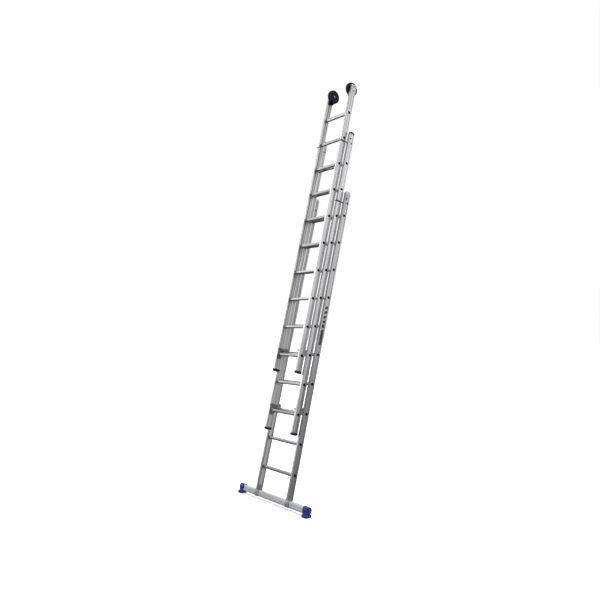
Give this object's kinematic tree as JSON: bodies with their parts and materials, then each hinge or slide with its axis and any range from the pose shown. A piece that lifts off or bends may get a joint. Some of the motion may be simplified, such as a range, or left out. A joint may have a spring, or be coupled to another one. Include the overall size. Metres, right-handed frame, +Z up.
{
  "type": "extension ladder",
  "caption": "Three-section push-up aluminium extension ladder with a stabiliser bar, rung hooks, guide straps and wall wheels, standing extended at its working lean.",
  "frame": {"origin": "on the floor, under the middle of the ladder's bounding box", "axes": "+Z up, -Y the climber's side, +Y towards the wall, X along the rungs"},
  "size_m": [1.08, 1.0104, 4.1541],
  "materials": {
    "stile": "brushed mill-finish extrusion",
    "rung": "ribbed mill-finish extrusion",
    "bar": "brushed tube",
    "foot": "blue moulded, satin",
    "guide_strap": "zinc plated",
    "hook": "zinc plated",
    "bottom_cap": "blue-black moulded",
    "grey_cap": "light grey moulded",
    "black_cap": "black moulded",
    "wheel_mount": "black moulded",
    "wheel": "hard black rubber"
  },
  "bodies": {
    "base_section": {"base_left_stile": "stile", "base_right_stile": "stile", "base_rung_01": "rung", "base_rung_02": "rung", "base_rung_03": "rung", "base_rung_04": "rung", "base_rung_05": "rung", "base_rung_06": "rung", "base_rung_07": "rung", "base_rung_08": "rung", "base_rung_09": "rung", "base_rung_10": "rung", "stabiliser_bar": "bar", "left_foot": "foot", "right_foot": "foot", "base_left_top_cap": "grey_cap", "base_right_top_cap": "grey_cap", "base_left_guide": "guide_strap", "base_right_guide": "guide_strap"},
    "mid_section": {"mid_left_stile": "stile", "mid_right_stile": "stile", "mid_rung_01": "rung", "mid_rung_02": "rung", "mid_rung_03": "rung", "mid_rung_04": "rung", "mid_rung_05": "rung", "mid_rung_06": "rung", "mid_rung_07": "rung", "mid_rung_08": "rung", "mid_rung_09": "rung", "mid_rung_10": "rung", "mid_left_top_cap": "black_cap", "mid_right_top_cap": "black_cap", "mid_left_bottom_cap": "bottom_cap", "mid_right_bottom_cap": "bottom_cap", "mid_left_guide": "guide_strap", "mid_right_guide": "guide_strap"},
    "top_section": {"top_left_stile": "stile", "top_right_stile": "stile", "top_rung_01": "rung", "top_rung_02": "rung", "top_rung_03": "rung", "top_rung_04": "rung", "top_rung_05": "rung", "top_rung_06": "rung", "top_rung_07": "rung", "top_rung_08": "rung", "top_rung_09": "rung", "top_rung_10": "rung", "top_left_bottom_cap": "bottom_cap", "top_right_bottom_cap": "bottom_cap", "left_wheel_mount": "wheel_mount", "right_wheel_mount": "wheel_mount"},
    "mid_left_hook_body": {"mid_left_hook": "hook"},
    "mid_right_hook_body": {"mid_right_hook": "hook"},
    "top_left_hook_body": {"top_left_hook": "hook"},
    "top_right_hook_body": {"top_right_hook": "hook"},
    "left_wheel": {"left_wall_wheel": "wheel"},
    "right_wheel": {"right_wall_wheel": "wheel"}
  },
  "joints": [
    {"name": "mid_slide", "type": "slide", "parent": "base_section", "child": "mid_section", "axis": [0, 0.2453, 0.9694], "range_m": [-0.56, 1.12]},
    {"name": "top_slide", "type": "slide", "parent": "mid_section", "child": "top_section", "axis": [0, 0.2453, 0.9694], "range_m": [-0.56, 1.12]},
    {"name": "mid_left_hook_pivot", "type": "hinge", "parent": "mid_section", "child": "mid_left_hook_body", "pos_m": [-0.1887, -0.31415, 0.8821], "axis": [1, 0, 0], "range_deg": [0, 50]},
    {"name": "mid_right_hook_pivot", "type": "hinge", "parent": "mid_section", "child": "mid_right_hook_body", "pos_m": [0.1887, -0.31415, 0.8821], "axis": [1, 0, 0], "range_deg": [0, 50]},
    {"name": "top_left_hook_pivot", "type": "hinge", "parent": "top_section", "child": "top_left_hook_body", "pos_m": [-0.1552, -0.24586, 1.42101], "axis": [1, 0, 0], "range_deg": [0, 50]},
    {"name": "top_right_hook_pivot", "type": "hinge", "parent": "top_section", "child": "top_right_hook_body", "pos_m": [0.1552, -0.24586, 1.42101], "axis": [1, 0, 0], "range_deg": [0, 50]},
    {"name": "left_wheel_spin", "type": "hinge", "parent": "top_section", "child": "left_wheel", "pos_m": [-0.1374, 0.43527, 4.0843], "axis": [1, 0, 0], "continuous": true},
    {"name": "right_wheel_spin", "type": "hinge", "parent": "top_section", "child": "right_wheel", "pos_m": [0.1374, 0.43527, 4.0843], "axis": [1, 0, 0], "continuous": true}
  ]
}
